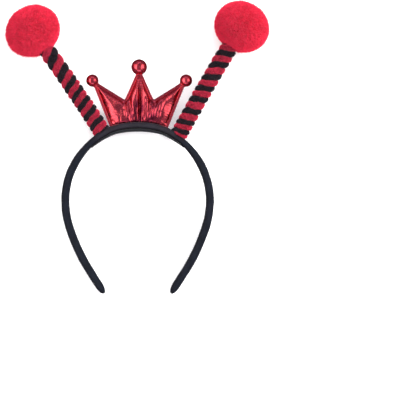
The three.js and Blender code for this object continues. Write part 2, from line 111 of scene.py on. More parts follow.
def ripple(points, seed, wavelength):
    """Smooth seeded noise from -1 to 1 at points of the plane: a sum of plane waves."""
    random = np.random.default_rng(seed)
    total = np.zeros(points.shape[:-1])
    for _ in range(RIPPLE_WAVES):
        heading = unit(random.normal(size=points.shape[-1]))
        wave = heading * 2 * math.pi / (wavelength * random.uniform(*RIPPLE_SPREAD))
        total += np.sin(points @ wave + random.uniform(0, 2 * math.pi))
    return total / math.sqrt(RIPPLE_WAVES / 2) / 2


# Hoop: its centreline is as wide as HOOP_SPAN, rises by HOOP_RISE over its widest level and drops by
# LEG_DROP under it, and its tips are TIP_SPAN apart
HOOP_SPAN, HOOP_RISE, LEG_DROP, TIP_SPAN = 123, 63.9, 79, 57
BAND_THICKNESS, BAND_WIDTH, TIP_ROUNDING = 6.5, 13, 8.5
# Arcs of half the hoop from the top: turn in degrees, and radius before it is scaled to its spans. The
# first ARCH_ARCS of them end at the widest level, and a straight end follows the last.
HOOP_ARCS = [(14, 1.17), (14, 0.52), (62, 1.1), (18, 1.176), (15, 2.626)]
ARCH_ARCS = 3
LEG_STRAIGHT = 0.364
ARC_STEPS = 40
# Length over which the centreline's direction is taken
TANGENT_SPAN = 3.0
# Part of the hoop's length that is searched for places near the top, and in how many steps
NEAR_TOP = 0.2, 0.8, 2401

# Band section from the top to a tip: place, share of the thickness, share of the width
BAND_SECTIONS = np.array([
    (0, 0.87, 1),
    (0.26, 0.9, 0.97),
    (0.36, 1.04, 0.95),
    (0.8, 1.06, 0.8),
    (1, 1, 0.72),
])


def make_hoop_line():
    """Half of the centreline as a chain of arcs, scaled to its spans and mirrored."""
    half, heading = [np.zeros(2)], 0.0
    for index, (turn, radius) in enumerate(HOOP_ARCS):
        for _ in range(ARC_STEPS):
            before, heading = heading, heading + math.radians(turn / ARC_STEPS)
            step = (math.sin(heading) - math.sin(before), math.cos(heading) - math.cos(before))
            half.append(half[-1] + radius * np.array(step))
        if index == ARCH_ARCS - 1:
            widest = len(half) - 1
    end, leg = half[-1], LEG_STRAIGHT * np.array([math.cos(heading), -math.sin(heading)])
    half += [end + leg * step / ARC_STEPS for step in range(1, ARC_STEPS + 1)]
    half = np.array(half)
    level, tip = half[widest], half[-1]
    x, y = half.T
    inward = (level[0] - x) / (level[0] - tip[0])
    down = (level[1] - y) / (level[1] - tip[1])
    above = np.arange(len(half)) <= widest
    right = np.stack([
        np.where(above, x / level[0] * HOOP_SPAN / 2, (HOOP_SPAN - inward * (HOOP_SPAN - TIP_SPAN)) / 2),
        np.where(above, (1 - y / level[1]) * HOOP_RISE, -down * LEG_DROP),
    ], -1)
    return np.concatenate([(right[1:] * (-1, 1))[::-1], right])


hoop_line = make_hoop_line()
hoop_run = np.concatenate([[0], np.cumsum(np.linalg.norm(np.diff(hoop_line, axis=0), axis=1))])
hoop_length = hoop_run[-1]


def hoop_point(share):
    """Points of the centreline at shares of its length, from the left tip to the right one."""
    return np.stack([np.interp(share * hoop_length, hoop_run, hoop_line[:, i]) for i in (0, 1)], -1)


def hoop_at(share):
    """Points of the centreline, outward directions, thicknesses and widths of the band there."""
    share = np.asarray(share, float)
    span = TANGENT_SPAN / 2 / hoop_length
    tangent = unit(hoop_point(np.minimum(share + span, 1)) - hoop_point(np.maximum(share - span, 0)))
    outward = np.stack([-tangent[..., 1], tangent[..., 0]], -1)
    along = np.abs(share - 0.5) * 2
    sizes = [np.interp(along, BAND_SECTIONS[:, 0], BAND_SECTIONS[:, i]) for i in (1, 2)]
    return hoop_point(share), outward, BAND_THICKNESS * sizes[0], BAND_WIDTH * sizes[1]


def hoop_share(angle, shift=0.0):
    """Share of the hoop's length at an angle from the top, seen from a point on the widest level."""
    shares = np.linspace(*NEAR_TOP)
    points = hoop_point(shares)
    return np.interp(angle, np.degrees(np.arctan2(points[:, 0] - shift, points[:, 1])), shares)


def rounded_end(distance, length):
    """A quarter round: 0 at the end itself and 1 from length on."""
    share = np.clip(distance / length, 0, 1)
    return np.sqrt(1 - (1 - share) ** 2)


def sweep(shares, section):
    """Rings of points along the hoop. section gives each ring's radial and front places from its share of
    the hoop's length and the band's thickness and width there."""
    rows = []
    for share in shares:
        point, outward, thickness, width = hoop_at(share)
        radial, front = section(share, thickness, width)
        flat = point + outward * radial[:, None]
        rows.append(np.column_stack([flat, front]))
    return np.array(rows)


def section_run(rows):
    """Distance round each row of points, and along the rows, as a uv in millimetres."""
    around = np.linalg.norm(np.diff(rows, axis=1), axis=2)
    around = np.concatenate([np.zeros((len(rows), 1)), np.cumsum(around, axis=1)], 1)
    along = np.linalg.norm(np.diff(rows.mean(1), axis=0), axis=1)
    along = np.concatenate([[0], np.cumsum(along)])
    return np.stack([np.broadcast_to(along[:, None], around.shape), around], -1).reshape(-1, 2)


def capped(rows, name, uv, shade=None):
    """A closed skin over rows of points, its ends drawn together to a point each. shade has a number for
    each row."""
    count, sides = rows.shape[:2]
    points = rows.reshape(-1, 3)
    tris = ring_faces(count, sides)
    ring = np.arange(sides)
    ends = np.array([rows[0].mean(0), rows[-1].mean(0)])
    first = np.stack([ring, np.full(sides, count * sides), (ring + 1) % sides], -1)
    last_start = (count - 1) * sides
    last_tip = np.full(sides, count * sides + 1)
    last = np.stack([last_start + ring, last_start + (ring + 1) % sides, last_tip], -1)
    points = np.concatenate([points, ends])
    uv = np.concatenate([uv, uv[[0, -1]]])
    if shade is not None:
        shade = np.concatenate([np.repeat(shade, sides), shade[[0, -1]]])
    return mesh_object(name, points, np.concatenate([tris, first, last]), uv=uv, shade=shade)


# Band
BAND_SIDES, BAND_RINGS, TIP_RINGS = 40, 620, 10
TIP_START = 0.12
BAND_SQUARENESS = 2.7
# Distances from the top, as shares of the hoop's length, between which the band turns from smooth to soft,
# and its cloth's colour from a lighter painted sheen to its plain dark
SMOOTH_PART = 0.125, 0.15
PAINTED_SHEEN_PART = 0.07, 0.125
# Soft padding: its depth, wavelength and stretch from front to back
SOFT_DEPTH, SOFT_PITCH, SOFT_STRETCH = 0.10, 9.0, 1.6
# Puckers where the hoop bends most: depth, wavelength, stretch, and their place from the top and its spread
PUCKER_DEPTH, PUCKER_WAVE, PUCKER_STRETCH = 0.10, 2.6, 1 / 0.3
PUCKER_PLACE, PUCKER_SPREAD = 0.36, 0.07
# Lap of the cloth on the inner face: rise, groove, and place and width of the groove
LAP_RISE, LAP_GROOVE = 0.22, 0.25
LAP_PLACE, LAP_WIDTH, LAP_SLOPE = -0.12, 0.09, 0.1


def superellipse(sides, squareness):
    """Radial and front shares of a section's corners: round at a squareness of 2, and squarer above."""
    angle = (np.arange(sides) + 0.5) / sides * 2 * math.pi
    return [np.sign(part) * np.abs(part) ** (2 / squareness) for part in (np.cos(angle), np.sin(angle))]


def band_section(share, thickness, width):
    size = rounded_end(min(share, 1 - share) * hoop_length, TIP_ROUNDING)
    radial, front = superellipse(BAND_SIDES, BAND_SQUARENESS)
    return radial * thickness / 2 * size, front * width / 2 * size


def make_band():
    rounding = TIP_ROUNDING / hoop_length
    bend = rounding * (1 - np.cos(np.linspace(TIP_START, math.pi / 2, TIP_RINGS)))
    middle = np.linspace(rounding, 1 - rounding, BAND_RINGS)[1:-1]
    shares = np.concatenate([bend, middle, 1 - bend[::-1]])
    rows = sweep(shares, band_section)
    centre = rows.mean(1, keepdims=True)
    outward = unit(rows - centre)
    # The cloth puckers a little where the hoop bends most, and lies over soft padding
    from_top = np.abs(shares - 0.5)
    pucker = np.exp(-(((from_top * 2 - PUCKER_PLACE) / PUCKER_SPREAD) ** 2))[:, None]
    soft = SOFT_DEPTH * ripple(rows / (1, 1, SOFT_STRETCH), 11, SOFT_PITCH)
    soft += PUCKER_DEPTH * pucker * ripple(rows / (1, 1, PUCKER_STRETCH), 12, PUCKER_WAVE)
    beyond = smoothstep(from_top, *SMOOTH_PART)[:, None]
    # The cloth's two edges lap along the middle of the inner face
    radial, front = superellipse(BAND_SIDES, BAND_SQUARENESS)
    inner = np.clip(-radial, 0, 1) ** 4
    lap = LAP_RISE * inner * smoothstep(front, LAP_PLACE, LAP_PLACE + LAP_SLOPE)
    lap -= LAP_GROOVE * inner * np.exp(-(((front - LAP_PLACE) / LAP_WIDTH) ** 2))
    rows = rows + outward * ((soft + lap[None, :]) * beyond)[..., None]
    # Painted sheen: 1 near the top, where the cloth's colour is made lighter, and 0 beyond
    light = 1 - smoothstep(from_top, *PAINTED_SHEEN_PART)
    return capped(rows, "band_cloth", section_run(rows), light)


# Pad
PAD_THICKNESS, PAD_REACH, PAD_WIDTH = 2.4, 46, 12
# Pad section from the middle to an end: place, share of the thickness, share of the width
PAD_SECTIONS = np.array([
    (0, 1, 1),
    (0.3, 0.88, 1),
    (0.6, 0.68, 0.97),
    (0.85, 0.42, 0.92),
    (1, 0.14, 0.8),
])
PAD_CLEARANCE, PAD_CROWNING = 0.12, 0.06
PAD_SIDES, PAD_RINGS, PAD_SQUARENESS = 28, 130, 4
PAD_RELIEF, PAD_PITCH = 0.05, 4.0


def pad_section(share, thickness, width):
    reach = abs(share - 0.5) * hoop_length / PAD_REACH
    deep = PAD_THICKNESS * np.interp(reach, PAD_SECTIONS[:, 0], PAD_SECTIONS[:, 1])
    wide = PAD_WIDTH * np.interp(reach, PAD_SECTIONS[:, 0], PAD_SECTIONS[:, 2])
    radial, front = superellipse(PAD_SIDES, PAD_SQUARENESS)
    middle = -thickness / 2 - PAD_CLEARANCE - deep / 2
    # Its seat follows the rounded inner face of the band
    seat = PAD_CROWNING * smoothstep(radial, 0, 1) * (1 - front**2)
    return middle + radial * deep / 2 + seat, front * wide / 2


def make_pad():
    half = PAD_REACH / hoop_length
    rows = sweep(np.linspace(0.5 - half, 0.5 + half, PAD_RINGS), pad_section)
    outward = unit(rows - rows.mean(1, keepdims=True))
    rows = rows + outward * (PAD_RELIEF * ripple(rows, 21, PAD_PITCH))[..., None]
    return capped(rows, "pad_felt", section_run(rows))


# Crown: a place on it is an angle, as a share of CROWN_HALF_SPREAD in degrees, seen from a point on the
# widest level that lies CROWN_SHIFT to the right, and a height over the band, as a share of
# CROWN_POINT_HEIGHT
CROWN_SHIFT, CROWN_HALF_SPREAD, CROWN_POINT_HEIGHT = 1.3, 21.9, 39.3
# Corners from the middle to one side: angle, height
CROWN_OUTLINE = [
    (0, 1.09),
    (0.085, 1.0),
    (0.355, 0.53),
    (0.388, 0.515),
    (0.872, 0.985),
    (0.95, 1.04),
    (0.99, 0.96),
]
# Angle, height, radius
KNOBS = [(0, 1.19, 6.75), (-0.973, 1.09, 5.3), (0.973, 1.09, 5.3)]
KNOB_FLATNESS, KNOB_LUMPS, KNOB_LUMP_PITCH = 0.86, 0.03, 4.0
NECK_BLEND = 1.6
FOOT_CLEARANCE = 0.06

# Stuffing: its thickness above the height CROWN_SWELL and at the foot, and how far in from the rim it
# rises, also on the flanks of the side points
CROWN_PUFF, CROWN_BASE_PUFF, CROWN_SWELL = 12.5, 9, 0.3
CROWN_EDGE_ROUND, FLANK_ROUND = 8.5, 9
# The foot is drawn in to a share of the thickness, and reaches the whole of it this far above the band
FOOT_TUCK, TUCK_RISE = 0.70, 2.4
# Sealed rim: width, thickness, rounding of its edge, and the fine ribs along it
RIM_WIDTH, RIM_THICKNESS, RIM_ROUNDING = 2.1, 1.3, 0.55
RIB_PITCH, RIB_DEPTH = 1.1, 0.09
RIM_BLEND = 0.35
# Puckers of the stuffing along the rim: wavelength, unevenness, depth, and how far in they fade
EDGE_PUCKER_PITCH, EDGE_PUCKER_TURN, EDGE_PUCKER_DEPTH, EDGE_PUCKER_FADE = 2.3, 2.5, 0.16, 2.2

VALLEY = 0.02
# Creases: angle, heights at which each starts and ends, depth as a share of half the thickness, and the
# spread of the angle over which it fades out
CROWN_FOLDS = [
    (-0.4, 0.2, 0.6, 0.26, 0.045),
    (-0.25, 0.12, 0.6, 0.3, 0.045),
    (VALLEY, 0, 1.1, 0.48, 0.040),
    (0.14, 0.08, 0.55, 0.22, 0.04),
    (0.3, 0.15, 0.6, 0.3, 0.045),
    (0.44, 0.2, 0.62, 0.22, 0.045),
    (0.6, 0.12, 0.66, 0.18, 0.05),
]
CREASE_FADE = 0.12

# Wavelengths and depths: upright gathers low in the middle, a slow swell, fine crumples, and the small
# cross wrinkles in the valley of the middle point
GATHER_PITCH, GATHER_DRAWN, GATHER_SHARE, GATHER_DEPTH = 7.0, 2.6, 0.45, 0.5
SWELL_PITCH, SWELL_DRAWN, SWELL_DEPTH = 11.0, 1.6, 0.38
CRUMPLE_PITCH, CRUMPLE_DRAWN, CRUMPLE_DEPTH = 3.4, 1.5, 0.08
WRINKLE_PITCH, WRINKLE_DEPTH = 2.1, 0.22
VALLEY_SPREAD = 0.055
# Broad patches low in the crown, of gathers and of painted shade: angle of the middle, spread, and the
# heights between which each fades out
GATHER_PATCH = -0.06, 0.66, 0.3, 0.5
SHADE_PATCH = 0.2, 0.55, 0.4, 0.62
# Painted shade patch: wavelength and stretch of its unevenness, and how much it darkens the foil's colour
SHADE_PATCH_PITCH, SHADE_PATCH_DRAWN, SHADE_PATCH_DARKNESS = 3.0, 1.6, 0.6
# Painted shade in the foil's colour: how much the valley darkens it above and at its foot, and the gaps
# between gathers; and the share of it left at the foot and on the rim
VALLEY_SHADE, VALLEY_FOOT_SHADE, BETWEEN_SHADE, FOOT_SHADE, RIM_SHADE = 0.55, 0.35, 0.7, 0.45, 0.8
FRONT_SEED, BACK_SEED, PUCKER_SEED, KNOB_SEED = 30, 40, 41, 50

# Spacing of the outline's points, before and after it is filleted, and the least spacing of all
DENSE_SPACING, CROWN_SPACING, LEAST_SPACING = 0.45, 0.5, 0.12
# Rows of points, by their height over the foot and their depth inside the outline, and the net between them
FOOT_STEPS = 140
FOOT_ROWS = [0.3, 0.65, 1.05, 1.5, 2.0, 2.5]
RIM_ROWS = [0.15, 0.4, 0.8]
RIM_ROWS += [RIM_WIDTH + step for step in (-0.45, -0.05, 0.12, 0.4, 0.9)]
NET_ACROSS, NET_UP = 0.55, 0.48
DEPTH_TURNS, DEPTH_STEP = 6, 0.01

crown_foot = HOOP_RISE + hoop_at(0.5)[2] / 2


def crown_point(angle, height):
    turn = math.radians(angle * CROWN_HALF_SPREAD)
    radius = crown_foot + height * CROWN_POINT_HEIGHT
    return np.array([CROWN_SHIFT + radius * math.sin(turn), radius * math.cos(turn)])


def crown_places(points):
    """Angle share and height share of points of the crown."""
    x, y = points[:, 0] - CROWN_SHIFT, points[:, 1]
    angle = np.degrees(np.arctan2(x, y)) / CROWN_HALF_SPREAD
    return angle, (np.hypot(x, y) - crown_foot) / CROWN_POINT_HEIGHT


def hoop_distance(points):
    """How far points lie outside the band's outer face."""
    line, outward, thickness, _ = hoop_at(np.linspace(0.3, 0.7, 240))
    away = points[:, None] - line[None]
    nearest = np.argmin((away**2).sum(-1), 1)
    return (away[np.arange(len(points)), nearest] * outward[nearest]).sum(-1) - thickness[nearest] / 2


def line_distance(points, corners):
    """Distance of points to an open chain of corners, and how far along the chain the nearest place is."""
    start, run = corners[:-1], np.diff(corners, axis=0)
    length = np.linalg.norm(run, axis=1)
    away = points[:, None] - start[None]
    share = np.clip((away * run).sum(-1) / length**2, 0, 1)
    distance = np.linalg.norm(away - share[..., None] * run, axis=-1)
    nearest = distance.argmin(1)
    row = np.arange(len(points))
    before = np.concatenate([[0], np.cumsum(length)])[nearest]
    return distance[row, nearest], before + share[row, nearest] * length[nearest]


def inside(points, corners):
    """True for points inside a closed chain of corners."""
    x, y = points.T
    found = np.zeros(len(points), bool)
    for (x0, y0), (x1, y1) in zip(corners, np.roll(corners, -1, axis=0)):
        crossing = (y0 > y) != (y1 > y)
        with np.errstate(divide="ignore", invalid="ignore"):
            found ^= crossing & (x < (x1 - x0) * (y - y0) / (y1 - y0) + x0)
    return found


def smooth_max(a, b, blend):
    share = np.clip(0.5 + 0.5 * (a - b) / blend, 0, 1)
    return b + (a - b) * share + blend * share * (1 - share)


mirrored = [(-angle, height) for angle, height in reversed(CROWN_OUTLINE[1:])]
crown_corners = np.array([crown_point(*corner) for corner in mirrored + CROWN_OUTLINE])
crown_ends = crown_corners[[0, -1]] - (CROWN_SHIFT, 0)
crown_feet = [hoop_share(np.degrees(np.arctan2(x, y)), CROWN_SHIFT) for x, y in crown_ends]
crown_sides = np.concatenate([[hoop_point(crown_feet[0])], crown_corners, [hoop_point(crown_feet[1])]])
crown_base = hoop_point(np.linspace(crown_feet[1], crown_feet[0], 60))[1:-1]
crown_round = np.concatenate([crown_sides, crown_base])
knob_rows = [(crown_point(angle, height), radius) for angle, height, radius in KNOBS]


def crown_depth(points):
    """Distance inside the crown's outline, knobs included, and inside the body alone."""
    body = line_distance(points, crown_sides)[0]
    body = np.where(inside(points, crown_round), body, -body)
    whole = body
    for centre, radius in knob_rows:
        whole = smooth_max(whole, radius - np.linalg.norm(points - centre, axis=1), NECK_BLEND)
    return whole, body


def to_depth(points, depth):
    """Moves points along the slope of the crown's depth until they lie that deep."""
    points = points.copy()
    for _ in range(DEPTH_TURNS):
        here = crown_depth(points)[0]
        steps = (DEPTH_STEP, 0), (0, DEPTH_STEP)
        slope = np.stack([crown_depth(points + step)[0] - here for step in steps], -1) / DEPTH_STEP
        points -= slope * ((here - depth) / np.maximum((slope**2).sum(-1), 0.3))[:, None]
    return points


def evenly(chain, spacing):
    """Points along a chain at even steps of about that spacing."""
    run = np.concatenate([[0], np.cumsum(np.linalg.norm(np.diff(chain, axis=0), axis=1))])
    even = np.linspace(0, run[-1], int(run[-1] / spacing) + 1)
    return np.stack([np.interp(even, run, chain[:, i]) for i in (0, 1)], -1)


def knob_arc(centre, radius):
    """The part of a knob's outline that lies outside the crown's body, clockwise."""
    turns = np.radians(np.arange(0, 360, 1.5))
    ring = centre + radius * np.stack([np.sin(turns), np.cos(turns)], -1)
    outside = ~inside(ring, crown_round)
    start = np.flatnonzero(outside & ~np.roll(outside, 1))[0]
    ring, outside = np.roll(ring, -start, axis=0), np.roll(outside, -start)
    return ring[outside]


def crown_boundary():
    """Outline of the crown with its knobs, from the left foot to the right foot, dense and filleted."""
    dense = evenly(crown_sides, DENSE_SPACING)
    free = np.ones(len(dense), bool)
    for centre, radius in knob_rows:
        free &= np.linalg.norm(dense - centre, axis=1) > radius
    free &= hoop_distance(dense) > FOOT_CLEARANCE
    edges = np.flatnonzero(np.diff(np.concatenate([[0], free.astype(int), [0]])))
    parts = [dense[start:stop] for start, stop in edges.reshape(-1, 2)]
    arcs = [knob_arc(*knob_rows[index]) for index in (1, 0, 2)]
    chain = [parts[0]]
    for arc, part in zip(arcs, parts[1:]):
        chain += [arc, part]
    return to_depth(evenly(np.concatenate(chain), CROWN_SPACING), 0.0)


def low_patch(angle, height, middle, spread, fade_start, fade_end):
    """1 in a broad patch low in the crown, and 0 beyond it."""
    return np.exp(-((np.abs(angle - middle) / spread) ** 4)) * (1 - smoothstep(height, fade_start, fade_end))


def foil_relief(points, side):
    """How far the foil's folds and crumples lift it, and how light its colour is left by painted shade, at
    points of the outline plane.
    """
    angle, height = crown_places(points)
    up = height * CROWN_POINT_HEIGHT
    place = np.column_stack([angle * math.radians(CROWN_HALF_SPREAD) * crown_foot, up])
    seed = FRONT_SEED if side > 0 else BACK_SEED
    middle = low_patch(angle, height, *GATHER_PATCH)
    gathers = np.exp(-((ripple(place / (1, GATHER_DRAWN), seed, GATHER_PITCH) / GATHER_SHARE) ** 2))
    relief = -GATHER_DEPTH * gathers * middle
    relief += SWELL_DEPTH * ripple(place / (1, SWELL_DRAWN), seed + 1, SWELL_PITCH)
    crumples = ripple(place / (1, CRUMPLE_DRAWN), seed + 2, CRUMPLE_PITCH)
    relief += CRUMPLE_DEPTH * crumples * (0.5 + 0.9 * middle)
    valley = np.exp(-(((angle - VALLEY) / VALLEY_SPREAD) ** 2)) * (1 - smoothstep(height, 0.95, 1.1))
    wrinkles = smoothstep(height, 0.4, 0.55) * np.sin(2 * math.pi * up / WRINKLE_PITCH)
    relief += WRINKLE_DEPTH * valley * wrinkles
    # Painted shade: the foil's colour is darkened in the valley, between the gathers and in a broad patch
    # beside the valley
    valley_shade = VALLEY_FOOT_SHADE + (VALLEY_SHADE - VALLEY_FOOT_SHADE) * smoothstep(height, 0.3, 0.6)
    between = (1 - gathers) * middle * (1 - 0.6 * np.abs(angle))
    shade_patch = low_patch(angle, height, *SHADE_PATCH)
    shade_patch *= 0.75 + 0.5 * ripple(place / (1, SHADE_PATCH_DRAWN), seed + 3, SHADE_PATCH_PITCH)
    lost = valley * valley_shade + BETWEEN_SHADE * between + SHADE_PATCH_DARKNESS * shade_patch
    return relief, 1 - np.clip(lost, 0, 1)


def crown_relief(points, side):
    """Half thickness of the crown at points of its outline plane, and how light its foil's colour is left by
    painted shade. side is 1 for the front and -1 for the back."""
    whole, body = crown_depth(points)
    run = line_distance(points, crown_sides)[1]
    above = hoop_distance(points)
    angle, height = crown_places(points)
    ribs = RIB_DEPTH * np.sin(2 * math.pi * run / RIB_PITCH) * smoothstep(whole, 0.2, 0.6)
    rim = RIM_THICKNESS / 2 * rounded_end(whole, RIM_ROUNDING) + ribs * (1 - smoothstep(whole, 1.5, 2.0))

    crease = np.zeros(len(points))
    for place, start, stop, depth, spread in CROWN_FOLDS:
        across = np.exp(-(((angle - place * side) / spread) ** 2))
        ends = smoothstep(height, start - CREASE_FADE, start + CREASE_FADE)
        ends *= 1 - smoothstep(height, stop - CREASE_FADE, stop + CREASE_FADE)
        crease += depth * across * ends
    full = CROWN_BASE_PUFF + (CROWN_PUFF - CROWN_BASE_PUFF) * smoothstep(height, 0, CROWN_SWELL)
    tuck = FOOT_TUCK + (1 - FOOT_TUCK) * rounded_end(above - FOOT_CLEARANCE, TUCK_RISE)
    flank = smoothstep(np.abs(angle), 0.35, 0.8) * (1 - smoothstep(height, 0.4, 0.75))
    within = body - RIM_WIDTH
    puff = full / 2 * rounded_end(within, CROWN_EDGE_ROUND + FLANK_ROUND * flank) * (1 - crease) * tuck

    turn = EDGE_PUCKER_TURN * ripple(points, PUCKER_SEED, 9.0)
    pucker = np.sin(2 * math.pi * run / EDGE_PUCKER_PITCH + turn)
    relief, shade = foil_relief(points, side)
    # Painted shade: the rim's colour is darker, and the foil's colour darkens towards the band at the foot
    shade = np.where(within < 0, RIM_SHADE, shade)
    shade = shade * (FOOT_SHADE + (1 - FOOT_SHADE) * smoothstep(above, 0.3, 1.6))
    relief += EDGE_PUCKER_DEPTH * pucker * np.exp(-np.clip(within, 0, None) / EDGE_PUCKER_FADE)
    puff = puff + relief * smoothstep(within, 0.1, 1.2) * (puff > 0)
    half = smooth_max(rim, puff, RIM_BLEND)
    for index, (centre, radius) in enumerate(knob_rows):
        away = np.linalg.norm(points - centre, axis=1) / (radius - 0.3)
        knob = KNOB_FLATNESS * radius * np.sqrt(np.clip(1 - away**2, 0, None))
        knob = knob * (1 + KNOB_LUMPS * ripple(points, KNOB_SEED + index, KNOB_LUMP_PITCH))
        half = smooth_max(half, knob, RIM_BLEND)
        shade = np.where(away < 1.1, 1, shade)
    return half, shade


def crown_net():
    """The crown's outline plane in triangles that face the front: its points, its triangles, the free
    edge's points in order, and the foot's from the right end to the left."""
    top = crown_boundary()
    under = np.linspace(0.3, 0.7, 800)
    feet = np.interp(top[[-1, 0], 0], hoop_point(under)[:, 0], under)
    line, outward, thickness, _ = hoop_at(np.linspace(*feet, FOOT_STEPS))

    def above_band(rise):
        return (line + outward * (thickness[:, None] / 2 + FOOT_CLEARANCE + rise))[1:-1]

    loop = np.concatenate([top, above_band(0)])
    found = []
    for rise in FOOT_ROWS:
        row = above_band(rise)
        found.append(row[crown_depth(row)[0] > RIM_WIDTH + 1.2])
    for depth in RIM_ROWS:
        row = to_depth(top, depth)
        found.append(row[np.abs(crown_depth(row)[0] - depth) < 0.04])
    low, high = loop.min(0), loop.max(0)
    x, y = np.meshgrid(np.arange(low[0], high[0], NET_ACROSS), np.arange(low[1], high[1], NET_UP))
    x[1::2] += NET_ACROSS / 2
    net = np.column_stack([x.ravel(), y.ravel()])
    depth = crown_depth(net)[0]
    within = (depth > RIM_WIDTH + 1.3) & (hoop_distance(net) > FOOT_CLEARANCE + FOOT_ROWS[-1] + 0.3)
    net = net[within | ((depth > 1.1) & (depth < RIM_WIDTH - 0.75))]
    points = np.concatenate(found + [net])
    points = points[hoop_distance(points) > FOOT_CLEARANCE + FOOT_ROWS[0] - 0.05]
    _, unique = np.unique((points / LEAST_SPACING).round(), axis=0, return_index=True)
    points = np.concatenate([loop, points[np.sort(unique)]])
    ring = len(loop)
    edges = [(i, (i + 1) % ring) for i in range(ring)]
    made = delaunay_2d_cdt([Vector(p) for p in points], edges, [], 1, 1e-6)
    flat, tris = np.array([tuple(p) for p in made[0]]), np.array(made[2])
    origin = {old: new for new, olds in enumerate(made[3]) for old in olds}
    a, b, c = (flat[tris[:, i]] for i in range(3))
    turned = (b - a)[:, 0] * (c - a)[:, 1] - (b - a)[:, 1] * (c - a)[:, 0] < 0
    tris[turned] = tris[turned][:, ::-1]
    free_edge = np.array([origin[i] for i in range(len(top))])
    foot = [origin[i] for i in [len(top) - 1, *range(len(top), ring), 0]]
    return flat, tris, free_edge, foot


def make_crown():
    """Front and back skins over one net, joined along the free edge and closed by a wall at the foot."""
    flat, tris, free_edge, foot = crown_net()
    (front, front_shade), (back, back_shade) = crown_relief(flat, 1), crown_relief(flat, -1)
    front[free_edge] = back[free_edge] = 0
    skin = np.concatenate([np.column_stack([flat, front]), np.column_stack([flat, -back])])
    mirror = np.arange(len(flat)) + len(flat)
    mirror[free_edge] = free_edge
    walls = []
    for here, there in zip(foot[:-1], foot[1:]):
        walls += [(there, here, mirror[here]), (there, mirror[here], mirror[there])]
    walls = [wall for wall in walls if len(set(wall)) == 3]
    tris = np.concatenate([tris, mirror[tris[:, ::-1]], np.array(walls)])
    return mesh_object("crown_foil", skin, tris, shade=np.concatenate([front_shade, back_shade]))


# Antennas
ANTENNA_LENGTH = 104
WRAP_DIAMETER, ROD_DIAMETER, FOOT_SINK = 15.9, 6.4, 1.2
# How far a wrap goes into its pompom, and how far short of that a strand's skin and its pile end
WRAP_SEAT, STRAND_END, PILE_END = 9, 2.6, 3
# Each black turn: where it crosses the front, as a share of the antenna, and its extra slope in degrees
ANTENNAS = {
    "left": dict(
        foot=-27.2, lean=34.5, length=0.99, bow=0.008,
        turns=[(0.076, -8), (0.171, 4), (0.27, 0), (0.36, 6), (0.459, 8), (0.567, 3), (0.716, 9)],
    ),
    "right": dict(
        foot=31.8, lean=-30.3, length=1.015, bow=-0.006,
        turns=[
            (0.03, 0), (0.105, -1), (0.21, -2), (0.323, -2), (0.42, 2), (0.524, 9), (0.645, 7), (0.749, 2),
        ],
    ),
}
STRAND_SIDES, STRAND_STEPS, STRAND_SQUARENESS = 18, 60, 2.1
# The turns that are tried, where the first black one is 0
FIRST_TURN, LAST_TURN = -2, 12
# How far below the foot a strand's middle starts, and the gap between its skin and its neighbour's
STRAND_START, STRAND_GAP = 3.2, 0.35
# Lumps along a strand: depth, and how many to a turn
LUMPS = (0.06, 2.7), (0.05, 5.3)
BREADTH_LUMP = 0.03
# How far all turns waver to and fro, and over what distance
WAVER, WAVER_PITCH = 0.55, 8.0
# Chenille pile: length, its spread, number of fibres, their width, scatter and curl, and how far round the
# section they grow
WRAP_PILE, WRAP_PILE_SPREAD = 1.25, (0.7, 1.12)
STRAND_FIBRES, STRAND_FIBRE_WIDTH, STRAND_SCATTER, STRAND_CURL = 31000, 0.17, 0.28, 0.14
PILE_ROUND, SIDE_SHORTER = 1.9, 0.25

# Pompom: its size across the stem, along it, and from front to back, and how far its middle lies beyond
# the antenna's length
POMPOM_SIZE = np.array([48.2, 43.2, 46])
POMPOM_LIFT, SEAT_CLEARANCE = 0.3, 0.2
POMPOM_RINGS, POMPOM_SIDES = 72, 110
POMPOM_LUMPS = (0.35, 15.0), (0.18, 6.0)
# Plush: length, its spread, number of fibres, their width, scatter and curl, and the tufts they lean to
POMPOM_PILE, POMPOM_PILE_SPREAD = 2.3, (0.85, 1.1)
POMPOM_FIBRES, POMPOM_FIBRE_WIDTH, POMPOM_SCATTER, POMPOM_CURL = 54000, 0.38, 1.15, 0.25
TUFTS, TUFT_LEAN = 1500, 0.3

# Painted shade of the pile, darker at the roots deep in it, from 0 for the darkest, how much a fibre's may
# differ, and the share of a fibre's width that is left halfway up
WRAP_ROOT_SHADE, PLUSH_ROOT_SHADE, TIP_SHADE = 0.1, 0.4, 0.9
FIBRE_TONE, FIBRE_WAIST = 0.15, 0.85


